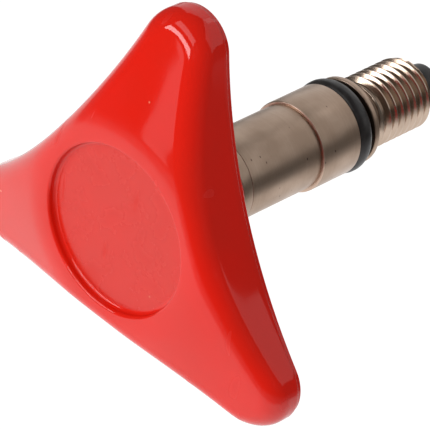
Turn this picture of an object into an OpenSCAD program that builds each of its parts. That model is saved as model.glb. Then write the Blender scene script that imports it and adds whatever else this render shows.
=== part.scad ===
// Screw-in valve headwork with a three-lobed handwheel and a non-rising spindle.
// The handwheel turns the spindle. The spindle's screw moves a hexagonal lift
// piston, which can't turn in the valve body, and the rubber tip on its end
// closes on the seat of whatever the body is screwed into.
//
// Everything is turned about one axis. It is drawn along Z, with +Z towards the
// rubber tip and zero where the mounting thread starts, and in_frame() lays it
// along +Y with one lobe of the handwheel up.

/* [Handwheel] */
// Distance from the axis to the end of a lobe
lobe_reach = 36.8; // [30:0.1:46]
// Radius of a lobe's rounded end, seen from the front
lobe_end_r = 6.5; // [5:0.1:9]
// Distance from the axis to the middle of a side
side_reach = 18.1; // [16:0.1:21]
// Depth from the flat middle of the face to the back edge
wheel_depth = 11.1; // [10:0.1:15]
// How far the face falls back at the end of a lobe
lobe_sweep = 5.5; // [2:0.1:7]
// Radius of the rounded edge of the face
face_edge_r = 3.0; // [1:0.1:3.4]
// Thickness of the moulded wall
wheel_wall = 2.4; // [1.6:0.1:3]
// Thickness of the ribs behind the face
rib_w = 2.0; // [1.2:0.1:3]
// Radius of the recess in the face
recess_r = 13.7; // [12:0.1:15]
// Depth of the recess down to the cover disc
recess_depth = 1.3; // [0.8:0.1:2]
// Thickness of the cover disc
cover_t = 1.6; // [1:0.1:2.5]
// Radius of the hub behind the face
hub_r = 8.0; // [7.4:0.1:10]
// How far the hub stands out behind the back edge
hub_stand = 9.4; // [6:0.1:14]

/* [Handwheel fastening] */
// Radius of the brass hub insert
insert_r = 5.6; // [5.2:0.1:6.4]
// Size across the flats of the spindle's square
square_w = 6.0; // [5:0.1:6.8]
// Length of the spindle's square
square_len = 9.0; // [6:0.1:10]
// Thickness of the insert's front wall
insert_front = 1.4; // [1:0.1:2]
// Nominal radius of the handle screw
screw_r = 2.0; // [1.5:0.1:2]
// Length of the handle screw under its head
screw_len = 9.0; // [8:0.1:10]
// Radius of the handle screw's head
screw_head_r = 3.6; // [3:0.1:4]
// Height of the handle screw's head
screw_head_h = 2.3; // [1.6:0.1:2.4]
// Thickness of the spring washer
spring_washer_t = 0.9; // [0.6:0.1:1.1]
// Thickness of the flat washer
flat_washer_t = 0.5; // [0.4:0.1:0.8]
// Outer radius of the washers under the screw's head
washer_r = 4.4; // [4:0.1:4.6]

/* [Barrel] */
// Radius of the sealing land behind the O-ring
land_r = 7.5; // [7.2:0.05:9]
// Length of the sealing land
land_len = 8.5; // [6:0.1:12]
// Radius of the long barrel
barrel_r = 7.0; // [6.9:0.05:7.15]
// Length of the long barrel, without the gland bush's flange
barrel_len = 15.3; // [14:0.1:24]
// Chamfer where the land steps down to the barrel
step_chamfer = 0.15; // [0.1:0.01:0.3]

/* [Seal and thread] */
// Thickness of the body O-ring from its inner to its outer face
ring_section = 2.4; // [2:0.1:2.6]
// Width of the body O-ring along the axis
ring_w = 3.0; // [2.4:0.1:3.2]
// Width of the groove that holds the body O-ring
groove_w = 3.8; // [3.4:0.1:4.4]
// How far the body O-ring stands proud of the sealing land
ring_proud = 0.25; // [0.1:0.05:0.25]
// Radius of the collar in front of the O-ring
collar_r = 7.2; // [7:0.05:7.5]
// Width of the collar
collar_w = 0.9; // [0.6:0.1:1.5]
// Radius of the neck between the cone and the thread
neck_r = 5.1; // [4.9:0.05:5.4]
// Length of the neck
neck_len = 0.4; // [0.3:0.1:1]
// Radius over the crests of the mounting thread
thread_r = 6.0; // [5.8:0.1:7]
// Pitch of the mounting thread
thread_pitch = 1.5; // [1:0.25:1.5]
// Number of turns of the mounting thread
thread_turns = 8; // [6:1:12]

/* [Lift piston and tip] */
// Size across the flats of the piston's hexagon
hex_af = 7.6; // [7.4:0.1:8]
// Length of the piston's hexagon
hex_len = 8.0; // [6:0.1:10]
// Length of the hexagonal bore that guides the piston
hex_bore_len = 16.4; // [12:0.1:18]
// Radius of the piston's round shank
shank_r = 3.65; // [3.5:0.05:3.7]
// How far the piston travels from closed to open
lift = 3.5; // [2:0.1:4]
// Radius of the rubber tip
tip_r = 3.3; // [3:0.1:3.5]
// Length of the rubber tip
tip_len = 4.4; // [3:0.1:6]
// How far the closed tip's back face stands out of the thread
tip_stand = 0; // [-1:0.1:1]

/* [Spindle] */
// Radius of the spindle's journal
journal_r = 4.0; // [3.6:0.1:4.2]
// Radius of the spindle's lifting screw
lead_r = 2.5; // [2:0.1:2.6]
// Length of the lifting screw
lead_len = 16.0; // [14:0.1:17]
// Radius of the spindle's thrust collar
thrust_r = 5.4; // [5:0.1:5.6]
// Length of the spindle's thrust collar
thrust_len = 2.0; // [1.5:0.1:3]
// Thickness of a thrust washer
thrust_washer_t = 0.5; // [0.4:0.1:1]
// Cross-section of the small O-rings
small_section = 1.2; // [1:0.1:1.3]

/* [Gland bush] */
// Thickness of the gland bush's flange
gland_flange = 2.2; // [1.5:0.1:4]
// Length of the gland bush inside the barrel
gland_len = 7.8; // [7:0.1:9]
// Radius of the gland bush inside the barrel
gland_r = 6.3; // [6.2:0.05:6.4]

/* [Clearances] */
// Radial clearance of a running fit
running = 0.04; // [0.02:0.01:0.08]
// Gap between parts that are fastened together
seat_gap = 0.02; // [0.01:0.01:0.04]
// Gap between parts that pass each other
free_gap = 0.4; // [0.3:0.1:0.6]

/* [Hidden] */
$fn = 96;

RED = [0.84, 0.10, 0.06];
NICKEL = [0.66, 0.60, 0.54];
BRASS = [0.78, 0.62, 0.34];
STEEL = [0.70, 0.71, 0.73];
RUBBER = [0.06, 0.06, 0.06];
PTFE = [0.93, 0.93, 0.90];

// Stations along the axis, from the thread back towards the handwheel
thread_len = thread_pitch * thread_turns;
thread_depth = thread_pitch * 0.55;
cone_z = -neck_len - (collar_r - neck_r);
groove_front_z = cone_z - collar_w;
groove_back_z = groove_front_z - groove_w;
step_z = groove_back_z - land_len;
mouth_z = step_z - barrel_len;
gland_back_z = mouth_z - gland_flange;
hub_back_z = gland_back_z - free_gap;
face_z = hub_back_z - hub_stand - wheel_depth;

// Inside the barrel
thrust_outer_z = mouth_z + gland_len;
collar_z = thrust_outer_z + thrust_washer_t + seat_gap;
thrust_inner_z = collar_z + thrust_len + seat_gap;
shoulder_z = thrust_inner_z + thrust_washer_t + seat_gap;
hex_end_z = shoulder_z + hex_bore_len;
bore_r = gland_r + seat_gap;
shank_bore_r = shank_r + running;
lead_end_z = collar_z + thrust_len + lead_len;

// Behind the face
cover_z = face_z + recess_depth;
pocket_z = cover_z + cover_t + seat_gap;
head_gap = 0.3;
head_z = pocket_z + head_gap;
washer_z = head_z + screw_head_h;
insert_z = washer_z + spring_washer_t + flat_washer_t;
square_z = insert_z + insert_front + seat_gap;
journal_z = square_z + square_len;
pocket_r = washer_r + free_gap;
insert_wall_r = insert_r + seat_gap;
screw_hole_r = screw_r + seat_gap;

// Small O-rings and their grooves
small_groove_w = small_section + 0.2;
ring_outer_z = mouth_z + gland_len * 0.28;
ring_inner_z = mouth_z + gland_len * 0.72;
gland_ring_z = mouth_z + small_groove_w / 2 + 0.6;

// Lift piston, drawn closed
tip_z = thread_len + tip_stand;
hex_z = hex_end_z - hex_len - seat_gap;
piston_groove_z = tip_z - 4.5;
blind_z = max(lead_end_z, hex_z) + lift + 0.6;
spigot_r = 1.7;
tip_bore_r = spigot_r + seat_gap;
tip_screw_r = 1.0;
tip_head_h = 0.7;
tip_washer_t = 0.4;
tip_washer_r = 1.9;
tip_pocket = tip_head_h + tip_washer_t + 0.1;

// Outline of the handwheel, drawn in by an offset all round
lobe_c = lobe_reach - lobe_end_r;
side_k = side_reach - lobe_end_r;
side_c = (side_k * side_k - lobe_c * lobe_c) / (2 * side_k - lobe_c);
side_r = side_c - side_reach;
lobe_half = atan2(side_c * sin(60), side_c * cos(60) - lobe_c);
side_half = atan2(lobe_c * sin(60), side_c - lobe_c * cos(60));

function lobe_arc(dir, inset, n) =
    [for (i = [0:n]) let (a = lobe_half * (2 * i / n - 1))
        lobe_c * [cos(dir), sin(dir)]
        + (lobe_end_r - inset) * [cos(dir + a), sin(dir + a)]];
function side_arc(dir, inset, n) =
    [for (i = [1:n - 1]) let (a = 180 + side_half * (1 - 2 * i / n))
        side_c * [cos(dir), sin(dir)]
        + (side_r + inset) * [cos(dir + a), sin(dir + a)]];
function wheel_outline(inset = 0) =
    [for (k = [0:2])
        each concat(lobe_arc(120 * k - 90, inset, 14),
                    side_arc(120 * k - 30, inset, 12))];

// Lays the axis along +Y and puts one lobe up
module in_frame() {
    rotate([-90, 0, 0]) children();
}

// A plain ring or tube between two stations
module tube(outer_r, inner_r, from_z, to_z) {
    translate([0, 0, from_z]) difference() {
        cylinder(r = outer_r, h = to_z - from_z);
        translate([0, 0, -1]) cylinder(r = inner_r, h = to_z - from_z + 2);
    }
}

// A rod between two stations
module rod(rod_r, from_z, to_z) {
    translate([0, 0, from_z]) cylinder(r = rod_r, h = to_z - from_z);
}

// An O-ring, squeezed a little at its inner and outer faces
module o_ring(inner_r, section, width, centre_z, squeeze = 0.06) {
    translate([0, 0, centre_z]) rotate_extrude() intersection() {
        translate([inner_r + section / 2 - squeeze, 0])
            scale([section, width]) circle(r = 0.5, $fn = 48);
        translate([inner_r, -section]) square([section - 2 * squeeze, 2 * section]);
    }
}

// A solid that follows the falling face, its top sunk below the face by depth
module face_dome(depth, bottom_z) {
    flat_r = recess_r + 0.9;
    far_r = lobe_reach + 4;
    ease = 4;
    slope = lobe_sweep / (lobe_reach - flat_r - ease / 2);
    steps = 4;
    curve = [for (i = [0:steps]) let (x = ease * i / steps)
        [flat_r + x, face_z + depth + slope * x * x / (2 * ease)]];
    rotate_extrude() polygon(concat(
        [[0, bottom_z], [0, face_z + depth]], curve,
        [[far_r, face_z + depth + slope * (far_r - flat_r - ease / 2)],
         [far_r, bottom_z]]));
}

// The handwheel's outline as a prism, cut to the falling face
module wheel_block(inset, depth, bottom_z) {
    intersection() {
        translate([0, 0, face_z]) linear_extrude(bottom_z - face_z)
            polygon(wheel_outline(inset));
        face_dome(depth, bottom_z);
    }
}

module handwheel() {
    back_z = face_z + wheel_depth;
    color(RED) difference() {
        union() {
            difference() {
                for (a = [0:30:90])
                    wheel_block(face_edge_r * (1 - sin(a)), face_edge_r * (1 - cos(a)), back_z);
                difference() {
                    wheel_block(wheel_wall, wheel_wall, back_z + 1);
                    rod(recess_r + wheel_wall, face_z, cover_z + cover_t + wheel_wall);
                }
            }
            intersection() {
                wheel_block(wheel_wall / 2, wheel_wall, back_z - 1.5);
                for (k = [0:2]) rotate(120 * k - 90) translate([0, -rib_w / 2, face_z])
                    cube([lobe_reach, rib_w, wheel_depth]);
            }
            rod(hub_r, cover_z + cover_t, hub_back_z);
        }
        rod(recess_r, face_z - 1, cover_z + cover_t);
        rod(pocket_r, cover_z, insert_z + 1);
        rod(insert_wall_r, insert_z, hub_back_z + 1);
    }
}

module cover_disc() {
    color(RED) rod(recess_r - seat_gap, cover_z, cover_z + cover_t - seat_gap);
}

module handle_screw() {
    color(STEEL) difference() {
        union() {
            rod(screw_head_r, head_z, washer_z - seat_gap);
            rod(screw_r, washer_z - 0.5, washer_z + screw_len);
        }
        for (a = [0, 90]) rotate(a) translate([-screw_head_r * 0.55, -0.45, head_z - 1])
            cube([screw_head_r * 1.1, 0.9, 2.3]);
    }
}

module spring_washer() {
    color(STEEL) difference() {
        tube(washer_r - 0.6, screw_hole_r, washer_z, washer_z + spring_washer_t - seat_gap);
        rotate(20) translate([0, -0.4, washer_z - 1]) cube([washer_r, 0.8, 3]);
    }
}

module flat_washer() {
    color(STEEL) tube(washer_r, screw_hole_r,
                      washer_z + spring_washer_t, insert_z - seat_gap);
}

module hub_insert() {
    socket_w = square_w + 2 * seat_gap;
    color(BRASS) difference() {
        rod(insert_r, insert_z, hub_back_z - 0.6);
        rod(screw_hole_r, insert_z - 1, square_z);
        translate([-socket_w / 2, -socket_w / 2, square_z - seat_gap])
            cube([socket_w, socket_w, square_len + seat_gap]);
        rod(journal_r + seat_gap, journal_z - seat_gap, hub_back_z + 1);
    }
}

// The groove for a small O-ring in a shaft
module shaft_groove(shaft_r, centre_z) {
    tube(shaft_r + 1, shaft_r - small_section + 0.1,
         centre_z - small_groove_w / 2, centre_z + small_groove_w / 2);
}

module spindle() {
    color(BRASS) difference() {
        union() {
            translate([-square_w / 2, -square_w / 2, square_z])
                cube([square_w, square_w, square_len]);
            rod(square_w / 2 - 0.2, square_z + 1, collar_z);
            rod(journal_r, journal_z, collar_z + 0.5);
            rod(thrust_r, collar_z, collar_z + thrust_len);
            rod(lead_r, collar_z, lead_end_z);
        }
        rod(screw_hole_r, square_z - 1, washer_z + screw_len + 1);
        shaft_groove(journal_r, ring_outer_z);
        shaft_groove(journal_r, ring_inner_z);
    }
}

module spindle_o_ring_outer() {
    color(RUBBER) small_o_ring(journal_r, ring_outer_z);
}

module spindle_o_ring_inner() {
    color(RUBBER) small_o_ring(journal_r, ring_inner_z);
}

// A small O-ring seated in a shaft groove, flush with the shaft
module small_o_ring(shaft_r, centre_z) {
    o_ring(shaft_r - small_section + 0.12, small_section, small_section, centre_z);
}

module thrust_washer_outer() {
    color(PTFE) tube(thrust_r, journal_r + running,
                     thrust_outer_z + seat_gap, thrust_outer_z + thrust_washer_t);
}

module thrust_washer_inner() {
    color(PTFE) tube(thrust_r, lead_r + 0.3,
                     thrust_inner_z, thrust_inner_z + thrust_washer_t);
}

module gland_bush() {
    color(NICKEL) difference() {
        union() {
            rod(barrel_r, gland_back_z, mouth_z - seat_gap);
            rod(gland_r, mouth_z - 0.5, thrust_outer_z);
        }
        rod(journal_r + running, gland_back_z - 1, thrust_outer_z + 1);
        shaft_groove(gland_r, gland_ring_z);
    }
}

module gland_o_ring() {
    color(RUBBER) small_o_ring(gland_r, gland_ring_z);
}

// Rings cut into the mounting thread, one for each turn, with flat crests
module thread_profile() {
    crest = thread_pitch / 8;
    root = thread_pitch / 4;
    flank = (thread_pitch - crest - root) / 2;
    polygon(concat(
        [[0, 0], [thread_r, 0]],
        [for (k = [0:thread_turns - 1]) let (z = k * thread_pitch)
            each [[thread_r, z + crest],
                  [thread_r - thread_depth, z + crest + flank],
                  [thread_r - thread_depth, z + crest + flank + root],
                  [k < thread_turns - 1 ? thread_r : thread_r - thread_depth,
                   z + thread_pitch]]],
        [[0, thread_len]]));
}

module valve_body() {
    color(NICKEL) difference() {
        rotate_extrude() union() {
            polygon([
                [0, mouth_z], [barrel_r, mouth_z],
                [barrel_r, step_z], [land_r - step_chamfer, step_z],
                [land_r, step_z + step_chamfer], [land_r, groove_back_z],
                [land_r + ring_proud - ring_section, groove_back_z],
                [land_r + ring_proud - ring_section, groove_front_z],
                [collar_r, groove_front_z], [collar_r, cone_z],
                [neck_r, -neck_len], [neck_r, 0], [0, 0]]);
            thread_profile();
        }
        rod(bore_r, mouth_z - 1, shoulder_z);
        translate([0, 0, shoulder_z - 0.5])
            cylinder(r = hex_af / sqrt(3) + running, h = hex_bore_len + 0.5, $fn = 6);
        rod(shank_bore_r, hex_end_z - 1, thread_len + 1);
    }
}

module body_o_ring() {
    color(RUBBER) o_ring(land_r + ring_proud - ring_section + 0.04, ring_section,
                         ring_w, groove_back_z + ring_w / 2 + 0.1, 0.02);
}

module lift_piston() {
    color(BRASS) difference() {
        union() {
            translate([0, 0, hex_z])
                cylinder(r = hex_af / sqrt(3) - running, h = hex_len, $fn = 6);
            rod(shank_r, hex_z + 1, tip_z);
            rod(spigot_r, tip_z - 1, tip_z + tip_len - tip_pocket);
        }
        rod(lead_r + running, hex_z - 1, blind_z);
        shaft_groove(shank_r, piston_groove_z);
        rod(tip_screw_r + seat_gap, tip_z + tip_len - tip_pocket - 4.5, tip_z + tip_len);
    }
}

module piston_o_ring() {
    color(RUBBER) small_o_ring(shank_r, piston_groove_z);
}

module seat_tip() {
    end_z = tip_z + tip_len;
    edge = 0.5;
    steps = 6;
    color(RUBBER) difference() {
        rotate_extrude() polygon(concat(
            [[0, tip_z + seat_gap], [tip_r, tip_z + seat_gap]],
            [for (i = [0:steps]) let (a = 90 * i / steps)
                [tip_r - edge * (1 - cos(a)), end_z - edge * (1 - sin(a))]],
            [[0, end_z]]));
        rod(tip_bore_r, tip_z - 1, end_z + 1);
        rod(tip_washer_r + seat_gap, end_z - tip_pocket, end_z + 1);
    }
}

module tip_washer() {
    washer_back_z = tip_z + tip_len - tip_pocket + seat_gap;
    color(STEEL) tube(tip_washer_r, tip_screw_r + seat_gap,
                      washer_back_z, washer_back_z + tip_washer_t);
}

module tip_screw() {
    head_back_z = tip_z + tip_len - tip_pocket + tip_washer_t + 2 * seat_gap;
    color(STEEL) difference() {
        union() {
            rod(tip_screw_r, head_back_z - 4, head_back_z + 0.2);
            rod(tip_washer_r - 0.3, head_back_z, head_back_z + tip_head_h);
        }
        translate([-3, -0.25, head_back_z + tip_head_h - 0.35]) cube([6, 0.5, 1]);
    }
}

in_frame() handwheel();
in_frame() cover_disc();
in_frame() handle_screw();
in_frame() spring_washer();
in_frame() flat_washer();
in_frame() hub_insert();
in_frame() spindle();
in_frame() spindle_o_ring_outer();
in_frame() spindle_o_ring_inner();
in_frame() thrust_washer_outer();
in_frame() thrust_washer_inner();
in_frame() gland_bush();
in_frame() gland_o_ring();
in_frame() valve_body();
in_frame() body_o_ring();
in_frame() lift_piston();
in_frame() piston_o_ring();
in_frame() seat_tip();
in_frame() tip_washer();
in_frame() tip_screw();
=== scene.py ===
"""Looks of the screw-in valve headwork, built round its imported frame.

Metres throughout: the axis lies along +Y and one lobe points up.
"""
import math

import bmesh
import bpy
from mathutils import Matrix, Vector


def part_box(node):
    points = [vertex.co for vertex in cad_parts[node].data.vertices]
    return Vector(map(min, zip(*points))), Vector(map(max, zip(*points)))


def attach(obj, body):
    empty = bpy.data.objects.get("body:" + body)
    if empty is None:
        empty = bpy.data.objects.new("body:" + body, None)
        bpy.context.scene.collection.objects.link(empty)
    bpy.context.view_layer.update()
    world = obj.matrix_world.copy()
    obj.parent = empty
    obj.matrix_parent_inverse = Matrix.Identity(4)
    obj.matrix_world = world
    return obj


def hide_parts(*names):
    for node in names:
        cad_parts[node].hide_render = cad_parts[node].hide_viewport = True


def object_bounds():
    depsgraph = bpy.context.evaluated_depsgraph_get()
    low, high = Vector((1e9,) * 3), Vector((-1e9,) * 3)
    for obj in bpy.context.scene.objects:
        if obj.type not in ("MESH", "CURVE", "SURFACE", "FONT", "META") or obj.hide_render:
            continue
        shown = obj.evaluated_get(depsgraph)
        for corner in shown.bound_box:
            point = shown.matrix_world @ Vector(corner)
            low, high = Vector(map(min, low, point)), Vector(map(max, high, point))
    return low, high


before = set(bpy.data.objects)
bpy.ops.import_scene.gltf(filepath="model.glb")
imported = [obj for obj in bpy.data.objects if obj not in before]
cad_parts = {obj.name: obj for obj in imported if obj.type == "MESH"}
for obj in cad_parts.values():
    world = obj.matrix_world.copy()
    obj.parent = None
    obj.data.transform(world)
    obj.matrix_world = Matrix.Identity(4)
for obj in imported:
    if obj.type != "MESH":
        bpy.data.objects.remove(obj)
cad_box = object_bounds()
MM = 0.001
TURN = 2 * math.pi

# ---------------------------------------------------------------- places taken from the frame
wheel_lo, wheel_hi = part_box("handwheel")
cover_lo, cover_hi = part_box("cover_disc")
insert_lo, insert_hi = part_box("hub_insert")
flat_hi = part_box("flat_washer")[1]
body_lo, body_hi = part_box("valve_body")
gland_lo, gland_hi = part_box("gland_bush")
ring_lo, ring_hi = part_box("body_o_ring")
tip_lo, tip_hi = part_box("seat_tip")

FACE_Y = wheel_lo[1]
HUB_END_Y = wheel_hi[1]
LOBE_REACH = wheel_hi[2]
RECESS_R = cover_hi[0] + 0.02 * MM
COVER_Y = cover_lo[1]
COVER_BACK_Y = cover_hi[1]

# Handwheel sizes, as in the part
LOBE_END_R = 6.5 * MM
SIDE_REACH = 18.1 * MM
WHEEL_DEPTH = 11.1 * MM
LOBE_SWEEP = 5.5 * MM
FACE_EDGE_R = 3.0 * MM
WALL = 2.4 * MM
RIB_W = 2.0 * MM
HUB_R = 8.0 * MM
BACK_Y = FACE_Y + WHEEL_DEPTH
FLAT_R = RECESS_R + 0.9 * MM
EASE = 4 * MM
SLOPE = LOBE_SWEEP / (LOBE_REACH - FLAT_R - EASE / 2)

# Barrel sizes, as in the part
BARREL_R = gland_hi[0]
LAND_R = body_hi[0]
GROOVE_BACK_Y = ring_lo[1] - 0.1 * MM
GROOVE_FRONT_Y = GROOVE_BACK_Y + 3.8 * MM
STEP_Y = GROOVE_BACK_Y - 8.5 * MM
GROOVE_R = 5.35 * MM
COLLAR_R = 7.2 * MM
COLLAR_END_Y = GROOVE_FRONT_Y + 0.9 * MM
NECK_R = 5.1 * MM
NECK_Y = -0.4 * MM
THREAD_R = 6.0 * MM
THREAD_PITCH = 1.5 * MM
THREAD_DEPTH = 0.825 * MM
THREAD_END_Y = body_hi[1]
THREAD_SLEEVE_R = 4.4 * MM
THREAD_RUN_ON = 0.1 * MM
THREAD_SET_BACK = 0.015 * MM

# Studio sizes
LENS_MM, SENSOR_MM = 334.88372, 36
TABLE_R, TABLE_DROP = 1.6, 0.26
GLOW_FULL_R, GLOW_END_R = 0.76, 0.88
GLOW_FULL, GLOW_END = 0.74, 0.08


# ---------------------------------------------------------------- mesh helpers
def make_piece(name, mesh, material):
    """A new object at the origin that holds a finished mesh."""
    piece = bpy.data.objects.new(name, mesh)
    bpy.context.collection.objects.link(piece)
    mesh.materials.clear()
    mesh.materials.append(material)
    return piece


def loops_to_mesh(name, loops, sharp_deg=35):
    """Joins rings of equal count into one closed skin, the last ring to the first."""
    shape = bmesh.new()
    rings = [[shape.verts.new(p) for p in loop] for loop in loops]
    for k, ring in enumerate(rings):
        after = rings[(k + 1) % len(rings)]
        for i in range(len(ring)):
            j = (i + 1) % len(ring)
            shape.faces.new((ring[i], ring[j], after[j], after[i]))
    bmesh.ops.recalc_face_normals(shape, faces=shape.faces)
    mesh = bpy.data.meshes.new(name)
    shape.to_mesh(mesh)
    shape.free()
    mesh.shade_smooth()
    mesh.set_sharp_from_angle(angle=math.radians(sharp_deg))
    return mesh


def ring_points(radius, y, count=192):
    """A ring about the axis, starting at the top."""
    return [(radius * math.sin(TURN * i / count), y, radius * math.cos(TURN * i / count))
            for i in range(count)]


def lathe(name, profile, material, count=192, sharp_deg=35):
    """Turns a closed profile of (y, radius) points about the axis."""
    loops = [ring_points(radius, y, count) for y, radius in profile]
    return make_piece(name, loops_to_mesh(name, loops, sharp_deg), material)


def fillet(corner, start, end, radius, steps=5):
    """Points that round a profile's corner between the directions of two neighbours."""
    corner, start, end = Vector(corner), Vector(start), Vector(end)
    a, b = (start - corner).normalized(), (end - corner).normalized()
    half = a.angle(b) / 2
    back = min(radius / math.tan(half), (start - corner).length * 0.49, (end - corner).length * 0.49)
    radius = back * math.tan(half)
    centre = corner + (a + b).normalized() * (radius / math.sin(half))
    p, q = corner + a * back - centre, corner + b * back - centre
    return [tuple(centre + p.slerp(q, i / steps) * radius) for i in range(steps + 1)]


def rounded(profile, radii, steps=5):
    """A closed profile with the corners named in radii rounded."""
    out = []
    for k, point in enumerate(profile):
        if k in radii:
            out += fillet(point, profile[k - 1], profile[(k + 1) % len(profile)], radii[k], steps)
        else:
            out.append(point)
    return out


# ---------------------------------------------------------------- materials
class Finish:
    """A procedural finish on Object coordinates, with the helpers its nodes need."""

    def __init__(self, name, colour, rough, metallic=0.0):
        self.material = bpy.data.materials.new(name)
        self.material.use_nodes = True
        self.nodes = self.material.node_tree.nodes
        self.links = self.material.node_tree.links
        self.shader = self.nodes["Principled BSDF"]
        self.shader.inputs["Base Color"].default_value = (*colour, 1)
        self.shader.inputs["Roughness"].default_value = rough
        self.shader.inputs["Metallic"].default_value = metallic
        self.place = self.nodes.new("ShaderNodeTexCoord").outputs["Object"]
        self.bump = None

    def stretched(self, scale, shift=(0, 0, 0)):
        node = self.nodes.new("ShaderNodeMapping")
        node.inputs["Scale"].default_value = scale
        node.inputs["Location"].default_value = shift
        self.links.new(self.place, node.inputs["Vector"])
        return node.outputs["Vector"]

    def noise(self, scale, detail=4.0, stretch=(1, 1, 1), rough=0.55):
        node = self.nodes.new("ShaderNodeTexNoise")
        node.inputs["Scale"].default_value = scale
        node.inputs["Detail"].default_value = detail
        node.inputs["Roughness"].default_value = rough
        self.links.new(self.stretched(stretch), node.inputs["Vector"])
        return node.outputs["Fac"]

    def cells(self, scale, stretch=(1, 1, 1)):
        node = self.nodes.new("ShaderNodeTexVoronoi")
        node.inputs["Scale"].default_value = scale
        self.links.new(self.stretched(stretch), node.inputs["Vector"])
        return node.outputs["Distance"]

    def along(self, axis):
        node = self.nodes.new("ShaderNodeSeparateXYZ")
        self.links.new(self.place, node.inputs[0])
        return node.outputs[axis]

    def remap(self, value, low, high, to_low=0.0, to_high=1.0):
        node = self.nodes.new("ShaderNodeMapRange")
        for socket, number in zip(("From Min", "From Max", "To Min", "To Max"),
                                  (low, high, to_low, to_high)):
            node.inputs[socket].default_value = number
        self.links.new(value, node.inputs["Value"])
        return node.outputs["Result"]

    def maths(self, kind, a, b=None):
        node = self.nodes.new("ShaderNodeMath")
        node.operation = kind
        for socket, value in zip(node.inputs, (a, b)):
            if isinstance(value, (int, float)):
                socket.default_value = value
            elif value is not None:
                self.links.new(value, socket)
        return node.outputs[0]

    def blend(self, factor, first, second):
        node = self.nodes.new("ShaderNodeMix")
        node.data_type = "RGBA"
        self.links.new(factor, node.inputs["Factor"])
        for socket, value in zip((node.inputs[6], node.inputs[7]), (first, second)):
            if isinstance(value, tuple):
                socket.default_value = (*value, 1)
            else:
                self.links.new(value, socket)
        return node.outputs[2]

    def colour(self, value):
        self.links.new(value, self.shader.inputs["Base Color"])

    def roughness(self, value):
        self.links.new(value, self.shader.inputs["Roughness"])

    def relief(self, height, distance, strength=1.0):
        node = self.nodes.new("ShaderNodeBump")
        node.inputs["Distance"].default_value = distance
        node.inputs["Strength"].default_value = strength
        self.links.new(height, node.inputs["Height"])
        if self.bump:
            self.links.new(self.bump, node.inputs["Normal"])
        self.bump = node.outputs["Normal"]
        self.links.new(self.bump, self.shader.inputs["Normal"])


def moulded_red(name, deep, worn, gloss, ripple):
    """Glossy moulded plastic: a slow ripple in the gloss, fine dust and a few dark specks."""
    finish = Finish(name, deep, gloss)
    cloud = finish.remap(finish.noise(70, 3), 0.35, 0.65)
    body = finish.blend(cloud, deep, worn)
    specks = finish.remap(finish.cells(330), 0.05, 0.075, 1, 0)
    rare = finish.remap(finish.noise(120, 1), 0.66, 0.69)
    body = finish.blend(finish.maths("MULTIPLY", specks, rare), body, (0.10, 0.012, 0.01))
    dust = finish.remap(finish.cells(270, (1, 1.3, 1.1)), 0.035, 0.06, 1, 0)
    settled = finish.remap(finish.noise(95, 1, (1.3, 1, 0.8)), 0.55, 0.58)
    finish.colour(finish.blend(finish.maths("MULTIPLY", dust, settled), body, (0.80, 0.22, 0.13)))
    haze = finish.remap(finish.noise(210, 5), 0.3, 0.75, gloss * 0.8, gloss * 1.5)
    scuff = finish.remap(finish.noise(130, 1, (3, 1, 0.7)), 0.70, 0.73, 0, 0.25)
    finish.roughness(finish.maths("ADD", haze, scuff))
    finish.relief(finish.noise(52, 2), 0.00040, ripple)
    finish.relief(finish.noise(1500, 2), 0.000004, 0.3)
    finish.shader.inputs["IOR"].default_value = 1.46
    return finish.material


def plated_nickel(name, tint, shade, rough, painted_step_highlight_and_pits=False):
    """Satin nickel plating over turned brass: fine turning lines, soft clouds, light scratches."""
    finish = Finish(name, tint, rough, 1.0)
    lines = finish.noise(260, 5, (0.05, 9.0, 0.05), 0.7)
    clouds = finish.noise(150, 4)
    streaks, patches = finish.maths("MULTIPLY", lines, 0.3), finish.maths("MULTIPLY", clouds, 0.7)
    tone = finish.maths("ADD", streaks, patches)
    surface = finish.blend(finish.remap(tone, 0.38, 0.62), tint, shade)
    if painted_step_highlight_and_pits:
        # Painted highlight: a thin band at the step is tinted a lighter copper, standing in for the step
        # edge's highlight and its reddish reflection of the wheel; the bump on the band is a real burr,
        # and the sparse dark pits below are real pits
        near = finish.maths("ABSOLUTE", finish.maths("SUBTRACT", finish.along("Y"), STEP_Y + 0.08 * MM))
        edge = finish.remap(near, 0.06 * MM, 0.2 * MM, 1, 0)
        surface = finish.blend(edge, surface, (0.56, 0.41, 0.32))
        finish.relief(finish.maths("MULTIPLY", edge, finish.noise(1500, 3)), 0.00006, 0.6)
        pits = finish.remap(finish.cells(520, (1, 1.6, 1)), 0.08, 0.13, 1, 0)
        sparse = finish.remap(finish.noise(190, 1), 0.55, 0.58)
        surface = finish.blend(finish.maths("MULTIPLY", pits, sparse), surface, (0.15, 0.10, 0.075))
    finish.colour(surface)
    finish.roughness(finish.remap(clouds, 0.3, 0.7, rough - 0.05, rough + 0.07))
    finish.relief(lines, 0.00001, 0.22)
    scratch = finish.remap(finish.noise(90, 1, (6, 0.6, 1.4)), 0.71, 0.73)
    finish.relief(scratch, 0.00001, 0.25)
    return finish.material


def turned_metal(name, tint, shade, rough):
    """Turned or rolled metal with rings about the axis."""
    finish = Finish(name, tint, rough, 1.0)
    lines = finish.noise(300, 4, (0.1, 8.0, 0.1), 0.6)
    finish.colour(finish.blend(finish.remap(lines, 0.35, 0.65), tint, shade))
    finish.roughness(finish.remap(finish.noise(400, 3), 0.3, 0.7, rough - 0.06, rough + 0.08))
    finish.relief(lines, 0.00001, 0.5)
    return finish.material


def black_rubber(name, rough):
    """Moulded rubber with a dull bloom and a fine grain."""
    finish = Finish(name, (0.016, 0.014, 0.014), rough)
    bloom = finish.remap(finish.noise(500, 5), 0.45, 0.75)
    finish.colour(finish.blend(bloom, (0.014, 0.012, 0.012), (0.036, 0.032, 0.031)))
    finish.roughness(finish.remap(finish.noise(900, 3), 0.3, 0.7, rough - 0.08, rough + 0.1))
    finish.relief(finish.noise(3500, 3), 0.00001, 0.4)
    return finish.material


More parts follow.
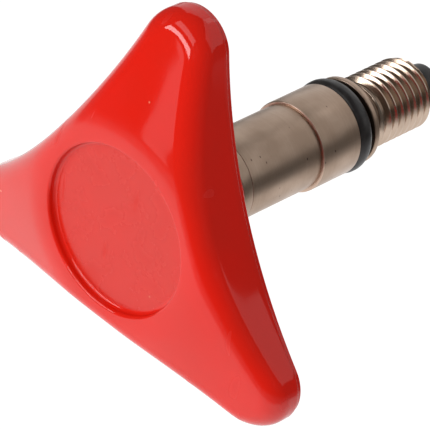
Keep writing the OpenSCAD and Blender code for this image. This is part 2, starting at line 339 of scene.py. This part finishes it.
def white_slip(name):
    """White low-friction plastic with a faint machined mottling."""
    finish = Finish(name, (0.86, 0.86, 0.83), 0.42)
    mottle = finish.remap(finish.noise(700, 3), 0.3, 0.7)
    finish.colour(finish.blend(mottle, (0.88, 0.88, 0.85), (0.80, 0.80, 0.77)))
    finish.relief(finish.noise(1800, 2), 0.00001, 0.3)
    return finish.material


WHEEL_RED = moulded_red("wheel_red", (0.73, 0.010, 0.003), (0.68, 0.012, 0.004), 0.07, 0.30)
COVER_RED = moulded_red("cover_red", (0.66, 0.014, 0.006), (0.62, 0.016, 0.007), 0.24, 0.22)
# True paints the highlight band at the step and adds the pits
NICKEL = plated_nickel("nickel", (0.45, 0.335, 0.260), (0.37, 0.265, 0.197), 0.34, True)
THREAD_NICKEL = plated_nickel("thread_nickel", (0.52, 0.405, 0.325), (0.45, 0.345, 0.270), 0.20)
BRASS = turned_metal("brass", (0.80, 0.60, 0.30), (0.70, 0.50, 0.23), 0.28)
ZINC_STEEL = turned_metal("zinc_steel", (0.70, 0.71, 0.74), (0.58, 0.60, 0.63), 0.30)
RUBBER = black_rubber("black_rubber", 0.36)
SLIP = white_slip("ptfe")


# ---------------------------------------------------------------- handwheel
LOBE_C = LOBE_REACH - LOBE_END_R
SIDE_K = SIDE_REACH - LOBE_END_R
SIDE_C = (SIDE_K ** 2 - LOBE_C ** 2) / (2 * SIDE_K - LOBE_C)
SIDE_R = SIDE_C - SIDE_REACH
LOBE_HALF = math.atan2(SIDE_C * math.sin(TURN / 6), SIDE_C * math.cos(TURN / 6) - LOBE_C)
SIDE_HALF = math.atan2(LOBE_C * math.sin(TURN / 6), SIDE_C - LOBE_C * math.cos(TURN / 6))
LOBE_STEPS, SIDE_STEPS = 28, 52


def wheel_outline(inset):
    """The three-lobed outline drawn in by inset, as (x, z) points round from the first lobe."""
    points = []
    for k in range(3):
        lobe, side = TURN * k / 3, TURN * k / 3 + TURN / 6
        for i in range(LOBE_STEPS):
            a = lobe + LOBE_HALF * (2 * i / LOBE_STEPS - 1)
            points.append((LOBE_C * math.sin(lobe) + (LOBE_END_R - inset) * math.sin(a),
                           LOBE_C * math.cos(lobe) + (LOBE_END_R - inset) * math.cos(a)))
        for i in range(SIDE_STEPS):
            a = side + TURN / 2 + SIDE_HALF * (1 - 2 * i / SIDE_STEPS)
            points.append((SIDE_C * math.sin(side) + (SIDE_R + inset) * math.sin(a),
                           SIDE_C * math.cos(side) + (SIDE_R + inset) * math.cos(a)))
    return points


def fall(radius):
    """How far the face has fallen back at a radius."""
    x = max(0.0, radius - FLAT_R)
    return SLOPE * x * x / (2 * EASE) if x < EASE else SLOPE * (x - EASE / 2)


def wheel_ring(inset, depth, floor=None):
    """A ring round the outline, at a depth below the falling face, or at the level floor."""
    return [(x, FACE_Y + fall(math.hypot(x, z)) + depth if floor is None else floor, z)
            for x, z in wheel_outline(inset)]


def circle_ring(radius, y):
    """A ring about the axis whose points face the outline's points."""
    ring = []
    for x, z in wheel_outline(0):
        reach = math.hypot(x, z)
        ring.append((radius * x / reach, y, radius * z / reach))
    return ring


def between(first, last, share, level):
    """A ring part of the way from one ring to another, laid on the surface level(radius)."""
    ring = []
    for p, q in zip(first, last):
        x, z = p[0] + (q[0] - p[0]) * share, p[2] + (q[2] - p[2]) * share
        ring.append((x, level(math.hypot(x, z)), z))
    return ring


def smooth(x, low, high):
    t = min(1.0, max(0.0, (x - low) / (high - low)))
    return t * t * (3 - 2 * t)


def inner_level(radius):
    """The hollow back's floor: even wall under the falling face, deeper under the recess."""
    well = (COVER_BACK_Y - FACE_Y) * (1 - smooth(radius, RECESS_R + WALL, RECESS_R + WALL + 1.2 * MM))
    return FACE_Y + WALL + max(well, fall(radius))


def handwheel_shell():
    """The red shell: face, rounded edge, side, rim with its parting lip, hollow back, hub, recess."""
    rim_r = 0.45 * MM
    lip_in, lip_h, back_r = 0.30 * MM, 1.1 * MM, 0.3 * MM
    loops = []
    # rounded rim of the recess, then the falling face
    for k in range(5):
        a = TURN / 4 * k / 5
        radius = RECESS_R + rim_r * (1 - math.cos(a))
        loops.append(circle_ring(radius, FACE_Y + rim_r * (1 - math.sin(a))))
    start, stop = circle_ring(RECESS_R + rim_r, FACE_Y), wheel_ring(FACE_EDGE_R, 0)
    for k in range(16):
        loops.append(between(start, stop, k / 16, lambda r: FACE_Y + fall(r)))
    # rounded edge and side
    for k in range(11):
        a = TURN / 4 * k / 10
        loops.append(wheel_ring(FACE_EDGE_R * (1 - math.sin(a)), FACE_EDGE_R * (1 - math.cos(a))))
    top = wheel_ring(0, FACE_EDGE_R)
    for k in range(1, 6):
        loops.append([(x, y + (BACK_Y - lip_h - y) * k / 5, z) for x, y, z in top])
    # parting lip and rounded back edge
    loops.append(wheel_ring(0.03 * MM, 0, BACK_Y - lip_h + 0.10 * MM))
    loops.append(wheel_ring(0.12 * MM, 0, BACK_Y - lip_h + 0.18 * MM))
    loops.append(wheel_ring(lip_in, 0, BACK_Y - lip_h + 0.20 * MM))
    loops.append(wheel_ring(lip_in, 0, BACK_Y - back_r))
    for k in range(1, 5):
        a = TURN / 4 * k / 4
        inset = lip_in + back_r * (1 - math.cos(a))
        loops.append(wheel_ring(inset, 0, BACK_Y - back_r * (1 - math.sin(a))))
    loops.append(wheel_ring(WALL - back_r, 0, BACK_Y))
    loops.append(wheel_ring(WALL, 0, BACK_Y - back_r))
    # hollow back
    corner_r = 0.9 * MM
    outer = wheel_ring(WALL, 0, 0)
    deep = [(x, inner_level(math.hypot(x, z)) + corner_r, z) for x, _, z in outer]
    for k in range(1, 5):
        loops.append([(x, BACK_Y - back_r + (y - BACK_Y + back_r) * k / 5, z) for x, y, z in deep])
    loops.append(deep)
    inner = wheel_ring(WALL + corner_r, 0, 0)
    hub = circle_ring(HUB_R + corner_r, 0)
    loops.append([(0.7 * p[0] + 0.3 * q[0], p[1] - 0.7 * corner_r, 0.7 * p[2] + 0.3 * q[2])
                  for p, q in zip(deep, inner)])
    for k in range(15):
        loops.append(between(inner, hub, k / 14, inner_level))
    # hub
    hub_floor = inner_level(HUB_R)
    loops.append(circle_ring(HUB_R + 0.3 * corner_r, hub_floor + 0.3 * corner_r))
    loops.append(circle_ring(HUB_R, hub_floor + corner_r))
    hub_edge = 0.7 * MM
    foot_y, shoulder_y = hub_floor + corner_r, HUB_END_Y - hub_edge
    for k in range(1, 4):
        loops.append(circle_ring(HUB_R, foot_y + (shoulder_y - foot_y) * k / 3))
    for k in range(1, 6):
        a = TURN / 4 * k / 5
        radius = HUB_R - hub_edge * (1 - math.cos(a))
        loops.append(circle_ring(radius, HUB_END_Y - hub_edge * (1 - math.sin(a))))
    bore_r = insert_hi[0] + 0.02 * MM
    pocket_r = flat_hi[0] + 0.4 * MM
    loops += [circle_ring(bore_r + 0.3 * MM, HUB_END_Y), circle_ring(bore_r, HUB_END_Y - 0.3 * MM),
              circle_ring(bore_r, insert_lo[1]), circle_ring(pocket_r, insert_lo[1]),
              circle_ring(pocket_r, COVER_BACK_Y + 0.02 * MM),
              circle_ring(RECESS_R, COVER_BACK_Y + 0.02 * MM)]
    # soft lip that runs in over the cover disc's edge
    lip_r, lip_y = 0.6 * MM, COVER_Y - 0.012 * MM
    loops.append(circle_ring(RECESS_R, lip_y + 0.006 * MM))
    for k in range(7):
        a = TURN / 4 * k / 6
        radius = RECESS_R - lip_r + lip_r * math.sin(a)
        loops.append(circle_ring(radius, lip_y - lip_r + lip_r * math.cos(a)))
    return make_piece("handwheel_shell", loops_to_mesh("handwheel_shell", loops, 32), WHEEL_RED)


def cover_disc():
    """The disc on the recess's floor, very slightly dished, with a soft edge."""
    radius, edge = RECESS_R - 0.03 * MM, 0.25 * MM
    front, back = COVER_Y, COVER_BACK_Y
    profile = [(back, 0.02 * MM)]
    for k in range(13):
        share = k / 12
        profile.append((front + 0.05 * MM * (1 - share ** 2), 0.02 * MM + (radius - 2 * edge) * share))
    for k in range(1, 5):
        a = TURN / 4 * k / 4
        profile.append((front + edge * (1 - math.cos(a)), radius - edge * (1 - math.sin(a))))
    profile.append((back, radius))
    return lathe("cover_disc_face", profile, COVER_RED, 160)


# ---------------------------------------------------------------- geometry-node trees
class Tree:
    """A small writer for a Geometry Nodes tree with named inputs."""

    def __init__(self, name, inputs):
        self.tree = bpy.data.node_groups.new(name, "GeometryNodeTree")
        self.tree.interface.new_socket("Geometry", in_out="INPUT", socket_type="NodeSocketGeometry")
        for label, kind, value in inputs:
            socket = self.tree.interface.new_socket(label, in_out="INPUT", socket_type=kind)
            if value is not None:
                socket.default_value = value
        self.tree.interface.new_socket("Geometry", in_out="OUTPUT", socket_type="NodeSocketGeometry")
        self.start = self.tree.nodes.new("NodeGroupInput")
        self.end = self.tree.nodes.new("NodeGroupOutput")

    def put(self, kind, links=None, **settings):
        node = self.tree.nodes.new(kind)
        for key, value in settings.items():
            setattr(node, key, value)
        for key, value in (links or {}).items():
            if isinstance(value, bpy.types.NodeSocket):
                self.tree.links.new(value, node.inputs[key])
            else:
                node.inputs[key].default_value = value
        return node

    def given(self, label):
        return self.start.outputs[label]

    def maths(self, kind, a, b=0.0, c=0.0):
        return self.put("ShaderNodeMath", {0: a, 1: b, 2: c}, operation=kind).outputs[0]

    def finish(self, geometry, material):
        real = self.put("GeometryNodeRealizeInstances", {"Geometry": geometry})
        painted = self.put("GeometryNodeSetMaterial", {"Geometry": real.outputs[0], "Material": material})
        self.tree.links.new(painted.outputs[0], self.end.inputs[0])


def grow(name, tree, sizes, material, seed_mesh=None, sharp_deg=40):
    """Runs a tree on a carrier mesh and returns the result as a plain piece."""
    carrier = bpy.data.objects.new(name + "_carrier", seed_mesh or bpy.data.meshes.new(name + "_carrier"))
    bpy.context.collection.objects.link(carrier)
    modifier = carrier.modifiers.new("grow", "NODES")
    modifier.node_group = tree
    for item in tree.interface.items_tree:
        if item.item_type == "SOCKET" and item.in_out == "INPUT" and item.name in sizes:
            modifier[item.identifier] = sizes[item.name]
    seen = carrier.evaluated_get(bpy.context.evaluated_depsgraph_get())
    mesh = bpy.data.meshes.new_from_object(seen)
    bpy.data.objects.remove(carrier)
    shape = bmesh.new()
    shape.from_mesh(mesh)
    bmesh.ops.remove_doubles(shape, verts=shape.verts, dist=0.000002)
    bmesh.ops.recalc_face_normals(shape, faces=shape.faces)
    shape.to_mesh(mesh)
    shape.free()
    mesh.name = name
    mesh.shade_smooth()
    mesh.set_sharp_from_angle(angle=math.radians(sharp_deg))
    return make_piece(name, mesh, material)


def thread_tree():
    """A right-hand screw thread on a closed sleeve: a grid rolled up, its rows laid along the helix."""
    across, rows, per_turn = 129, 162, 16
    tree = Tree("screw_thread", [
        ("Start", "NodeSocketFloat", 0.0), ("End", "NodeSocketFloat", 0.012),
        ("Pitch", "NodeSocketFloat", 0.0015), ("Crest radius", "NodeSocketFloat", 0.006),
        ("Depth", "NodeSocketFloat", 0.0008),
        ("Core radius", "NodeSocketFloat", 0.004)])
    m = tree.maths
    grid = tree.put("GeometryNodeMeshGrid", {
        "Size X": 1.0, "Size Y": 1.0, "Vertices X": across, "Vertices Y": rows})
    place = tree.put("ShaderNodeSeparateXYZ", {0: tree.put("GeometryNodeInputPosition").outputs[0]})
    column = m("ROUND", m("MULTIPLY", m("ADD", place.outputs["X"], 0.5), across - 1.0))
    turn = m("DIVIDE", column, across - 1.0)
    row = m("ROUND", m("MULTIPLY", m("ADD", place.outputs["Y"], 0.5), rows - 1.0))
    length = m("SUBTRACT", tree.given("End"), tree.given("Start"))
    # first and last rows lie together on the sleeve's near end, the one before the last on its far end
    first = m("MAXIMUM", m("LESS_THAN", row, 0.5), m("GREATER_THAN", row, rows - 1.5))
    last = m("SUBTRACT", m("GREATER_THAN", row, rows - 2.5), m("GREATER_THAN", row, rows - 1.5))
    climb = m("SUBTRACT", m("ADD", m("DIVIDE", m("SUBTRACT", row, 1.0), per_turn), turn), 1.0)
    free_run = m("MULTIPLY", climb, tree.given("Pitch"))
    held = m("MINIMUM", m("MAXIMUM", free_run, 0.0), length)
    run = m("MULTIPLY", m("MAXIMUM", held, m("MULTIPLY", last, length)), m("SUBTRACT", 1.0, first))
    phase = m("FRACT", m("ADD", m("DIVIDE", m("SUBTRACT", row, 1.0), per_turn), 0.0001))
    ridge = m("ABSOLUTE", m("SUBTRACT", m("MULTIPLY", phase, 2.0), 1.0))
    rise = tree.put("ShaderNodeMapRange", {
        "Value": ridge, "From Min": 0.25, "From Max": 0.875}).outputs["Result"]
    lead_in = tree.put("ShaderNodeMapRange", {
        "Value": run, "From Min": 0.0, "From Max": 0.0008}).outputs["Result"]
    height = m("MULTIPLY", m("MULTIPLY", rise, lead_in), tree.given("Depth"))
    root = m("SUBTRACT", tree.given("Crest radius"), tree.given("Depth"))
    chamfer = m("ADD", m("SUBTRACT", root, 0.0001), m("MULTIPLY", m("SUBTRACT", length, run), 1.4))
    outer = m("MINIMUM", m("ADD", root, height), chamfer)
    core = tree.given("Core radius")
    outside = m("SUBTRACT", 1.0, m("MAXIMUM", first, last))
    radius = m("ADD", core, m("MULTIPLY", outside, m("SUBTRACT", outer, core)))
    angle = m("MULTIPLY", turn, TURN)
    point = tree.put("ShaderNodeCombineXYZ", {
        "X": m("MULTIPLY", radius, m("SINE", angle)), "Y": m("ADD", tree.given("Start"), run),
        "Z": m("MULTIPLY", radius, m("COSINE", angle))})
    rolled = tree.put("GeometryNodeSetPosition", {
        "Geometry": grid.outputs["Mesh"], "Position": point.outputs[0]})
    joined = tree.put("GeometryNodeMergeByDistance", {
        "Geometry": rolled.outputs[0], "Distance": 0.000002})
    tree.finish(joined.outputs[0], THREAD_NICKEL)
    return tree.tree


def rib_tree():
    """Ribs set round the axis, one to each lobe."""
    tree = Tree("wheel_ribs", [("Count", "NodeSocketInt", 3)])
    line = tree.put("GeometryNodeMeshLine", {"Count": tree.given("Count"), "Offset": (0.0, 0.0, 0.0)})
    step = tree.maths("DIVIDE", TURN, tree.given("Count"))
    turn = tree.maths("MULTIPLY", tree.put("GeometryNodeInputIndex").outputs[0], step)
    spin = tree.put("ShaderNodeCombineXYZ", {"Y": turn})
    euler = tree.put("FunctionNodeEulerToRotation", {0: spin.outputs[0]})
    ribs = tree.put("GeometryNodeInstanceOnPoints", {
        "Points": line.outputs[0], "Instance": tree.given("Geometry"), "Rotation": euler.outputs[0]})
    tree.finish(ribs.outputs[0], WHEEL_RED)
    return tree.tree


def rib_blank():
    """One rib as a tapered plate from the hub to the lobe's end, its free edge rounded."""
    steps, sides = 24, 8
    inner, outer = HUB_R - 0.5 * MM, LOBE_REACH - WALL + 0.3 * MM
    shape = bmesh.new()
    rows = []
    for k in range(steps + 1):
        z = inner + (outer - inner) * k / steps
        root_y = FACE_Y + fall(z) + WALL * 0.6
        edge_y = BACK_Y - 1.5 * MM
        half = RIB_W / 2
        row = [(-half * 1.15, root_y), (half * 1.15, root_y)]
        for i in range(sides + 1):
            a = TURN / 2 * i / sides
            row.append((half * 0.8 * math.cos(a), edge_y - half * 0.8 + half * 0.8 * math.sin(a)))
        rows.append([shape.verts.new((x, y, z)) for x, y in row])
    for near, far in zip(rows, rows[1:]):
        for i in range(len(near)):
            j = (i + 1) % len(near)
            shape.faces.new((near[i], near[j], far[j], far[i]))
    shape.faces.new(rows[0])
    shape.faces.new(rows[-1])
    bmesh.ops.recalc_face_normals(shape, faces=shape.faces)
    mesh = bpy.data.meshes.new("rib_blank")
    shape.to_mesh(mesh)
    shape.free()
    return mesh


# ---------------------------------------------------------------- barrel, seals and tip
def barrel():
    """The nickel-plated body without its thread: barrel, land, groove, collar, cone, neck and bores."""
    bore_r, guide_r, shank_r = 6.32 * MM, 4.47 * MM, 3.69 * MM
    shoulder_y, guide_end_y = body_lo[1] + 10.86 * MM, body_lo[1] + 27.26 * MM
    core_r = THREAD_R - THREAD_DEPTH - 0.1 * MM
    profile = [
        (body_lo[1], BARREL_R), (STEP_Y - 0.02 * MM, BARREL_R), (STEP_Y, LAND_R), (GROOVE_BACK_Y, LAND_R),
        (GROOVE_BACK_Y, GROOVE_R), (GROOVE_FRONT_Y, GROOVE_R), (GROOVE_FRONT_Y, COLLAR_R),
        (COLLAR_END_Y, COLLAR_R), (NECK_Y, NECK_R), (0.3 * MM, core_r), (THREAD_END_Y, core_r),
        (THREAD_END_Y, shank_r), (guide_end_y, shank_r), (guide_end_y, guide_r), (shoulder_y, guide_r),
        (shoulder_y, bore_r), (body_lo[1], bore_r)]
    radii = {0: 0.06 * MM, 2: 0.26 * MM, 3: 0.12 * MM, 6: 0.22 * MM, 7: 0.35 * MM, 8: 0.4 * MM,
             10: 0.15 * MM, 11: 0.25 * MM, 16: 0.1 * MM}
    return lathe("barrel", rounded(profile, radii, 4), NICKEL, 192, 25)


def gland_flange():
    """The gland bush: its short flange shows as the ring above the hair-line seam."""
    journal_r, spigot_r = 4.04 * MM, 6.3 * MM
    mouth = body_lo[1]
    profile = [(gland_lo[1], BARREL_R), (mouth - 0.03 * MM, BARREL_R), (mouth - 0.03 * MM, spigot_r),
               (mouth + 0.6 * MM, spigot_r), (mouth + 0.6 * MM, spigot_r - 1.1 * MM),
               (mouth + 2.0 * MM, spigot_r - 1.1 * MM), (mouth + 2.0 * MM, spigot_r),
               (gland_hi[1], spigot_r), (gland_hi[1], journal_r), (gland_lo[1], journal_r)]
    radii = {0: 0.25 * MM, 1: 0.06 * MM, 7: 0.2 * MM, 8: 0.2 * MM, 9: 0.3 * MM}
    return lathe("gland_flange", rounded(profile, radii, 4), NICKEL, 192, 25)


def body_seal():
    """The body O-ring, a round cord squeezed against its groove, with a faint moulding line."""
    outer_r, inner_r = ring_hi[0], GROOVE_R + 0.04 * MM
    centre_y, half = (ring_lo[1] + ring_hi[1]) / 2, (ring_hi[1] - ring_lo[1]) / 2
    middle = (outer_r + inner_r) / 2
    reach = (outer_r - inner_r) / 2
    profile = []
    for k in range(40):
        a = TURN * k / 40
        flash = 0.0 if abs(math.sin(a)) < 0.999 else -0.02 * MM
        profile.append((centre_y + half * math.cos(a), middle + (reach + flash) * math.sin(a)))
    return lathe("body_seal", profile, RUBBER, 192, 60)


def rubber_tip():
    """The rubber tip: soft front edge, shallow groove round its foot, pocket for its screw."""
    outer_r, spigot_r, pocket_r = tip_hi[0], 1.72 * MM, 1.92 * MM
    pocket_y = tip_hi[1] - 1.2 * MM
    profile = [(tip_lo[1], outer_r - 0.15 * MM), (tip_lo[1] + 0.5 * MM, outer_r - 0.15 * MM),
               (tip_lo[1] + 0.7 * MM, outer_r), (tip_hi[1], outer_r), (tip_hi[1], pocket_r),
               (pocket_y, pocket_r), (pocket_y, spigot_r), (tip_lo[1], spigot_r)]
    return lathe("rubber_tip", rounded(profile, {3: 0.6 * MM, 4: 0.12 * MM}, 6), RUBBER, 96, 50)


# ---------------------------------------------------------------- studio
def place_camera():
    """The view: distance and direction from a point on the axis, with a long lens."""
    azimuth, elevation, roll, distance = 37.0011, 36.4380, -12.3617, 0.6
    aim = Vector((6.2686, -38.6566, 0.5630)) * MM
    az, el = math.radians(azimuth), math.radians(elevation)
    back = Vector((math.sin(az) * math.cos(el), -math.cos(az) * math.cos(el), math.sin(el)))
    right = Vector((0, 0, 1)).cross(back).normalized()
    up = back.cross(right)
    turn = Matrix.Rotation(math.radians(-roll), 3, back)
    right, up = turn @ right, turn @ up
    data = bpy.data.cameras.new("view")
    data.sensor_width = SENSOR_MM
    data.lens = LENS_MM
    data.clip_start = 0.02
    camera = bpy.data.objects.new("view", data)
    bpy.context.collection.objects.link(camera)
    spot = aim + back * distance
    camera.matrix_world = Matrix((
        (right.x, up.x, back.x, spot.x), (right.y, up.y, back.y, spot.y),
        (right.z, up.z, back.z, spot.z), (0, 0, 0, 1)))
    bpy.context.scene.camera = camera


def pale_floor():
    """A round white table well below the part."""
    data = bpy.data.meshes.new("table")
    shape = bmesh.new()
    bmesh.ops.create_circle(shape, cap_ends=True, segments=96, radius=TABLE_R)
    shape.to_mesh(data)
    shape.free()
    data.transform(Matrix.Translation((0, 0, cad_box[0][2] - TABLE_DROP)))
    finish = Finish("white_table", (0.85, 0.85, 0.85), 0.9)
    finish.colour(finish.blend(finish.noise(8, 2), (0.49, 0.49, 0.49), (0.51, 0.51, 0.51)))
    finish.shader.inputs["Emission Color"].default_value = (1, 1, 1, 1)
    reach = finish.nodes.new("ShaderNodeVectorMath")
    reach.operation = "LENGTH"
    finish.links.new(finish.stretched((1, 1, 0), (0.25, -0.25, 0)), reach.inputs[0])
    glow = finish.remap(reach.outputs["Value"], GLOW_FULL_R, GLOW_END_R, GLOW_FULL, GLOW_END)
    finish.links.new(glow, finish.shader.inputs["Emission Strength"])
    make_piece("table", data, finish.material)


def soft_light(name, aim_from, size, power, mirrored=True):
    """A soft box pointed at the part; a fill light isn't mirrored in gloss."""
    data = bpy.data.lights.new(name, "AREA")
    data.shape = "RECTANGLE"
    data.size, data.size_y = size
    data.energy = power
    lamp = bpy.data.objects.new(name, data)
    bpy.context.collection.objects.link(lamp)
    spot = Vector(aim_from)
    lamp.location = spot
    lamp.rotation_euler = (spot - Vector((0, -0.03, 0))).to_track_quat("Z", "Y").to_euler()
    lamp.visible_glossy = mirrored
    lamp.visible_camera = False


def studio():
    world = bpy.data.worlds.new("room")
    bpy.context.scene.world = world
    world.use_nodes = True
    shade = world.node_tree.nodes["Background"]
    shade.inputs["Color"].default_value = (1.0, 0.97, 0.94, 1)
    shade.inputs["Strength"].default_value = 0.12
    soft_light("front_window", (-0.34, -0.92, 0.27), (0.85, 0.26), 5.6)
    soft_light("front_card", (-0.40, -0.90, -0.13), (0.14, 0.20), 0.09)
    soft_light("behind_left", (-0.42, 0.70, 0.40), (1.0, 1.15), 2.8)
    soft_light("behind_right", (0.52, 0.62, 0.72), (1.2, 1.0), 2.3)
    soft_light("top_front", (-0.20, -0.70, 0.70), (0.95, 0.30), 1.7)
    soft_light("front_fill", (0.30, -0.80, 0.45), (0.5, 0.5), 2.3, False)
    soft_light("right_fill", (0.95, -0.10, 0.30), (0.5, 0.5), 0.9, False)
    bpy.context.scene.view_settings.view_transform = "Standard"


# ---------------------------------------------------------------- put it together
place_camera()
pale_floor()
studio()

ON_ROTOR = "handwheel_and_spindle"
ON_HOUSING = "housing"
ON_PISTON = "lift_piston_and_tip"

shell = handwheel_shell()
ribs = grow("handwheel_ribs", rib_tree(), {"Count": 3}, WHEEL_RED, rib_blank(), 50)
disc = cover_disc()
body = barrel()
thread = grow("mounting_thread", thread_tree(), {
    "Start": -THREAD_RUN_ON, "End": THREAD_END_Y - THREAD_SET_BACK, "Pitch": THREAD_PITCH,
    "Crest radius": THREAD_R, "Depth": THREAD_DEPTH, "Core radius": THREAD_SLEEVE_R},
    THREAD_NICKEL, None, 60)
gland = gland_flange()
seal = body_seal()
tip = rubber_tip()

for piece, carrier, node, slot in (
        (shell, ON_ROTOR, "handwheel", "wheel_red"), (ribs, ON_ROTOR, "handwheel", "wheel_red"),
        (disc, ON_ROTOR, "cover_disc", "cover_red"), (body, ON_HOUSING, "valve_body", "nickel"),
        (thread, ON_HOUSING, "valve_body", "nickel"), (gland, ON_HOUSING, "gland_bush", "nickel"),
        (seal, ON_HOUSING, "body_o_ring", "black_rubber"), (tip, ON_PISTON, "seat_tip", "black_rubber")):
    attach(piece, carrier)
    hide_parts(node)

CAD_FINISHES = {
    BRASS: ("hub_insert", "spindle", "lift_piston"),
    ZINC_STEEL: ("handle_screw", "spring_washer", "flat_washer", "tip_washer", "tip_screw"),
    RUBBER: ("spindle_o_ring_outer", "spindle_o_ring_inner", "gland_o_ring", "piston_o_ring"),
    SLIP: ("thrust_washer_outer", "thrust_washer_inner"),
}
for finish_material, names in CAD_FINISHES.items():
    for node_name in names:
        for material_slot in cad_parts[node_name].material_slots:
            material_slot.material = finish_material
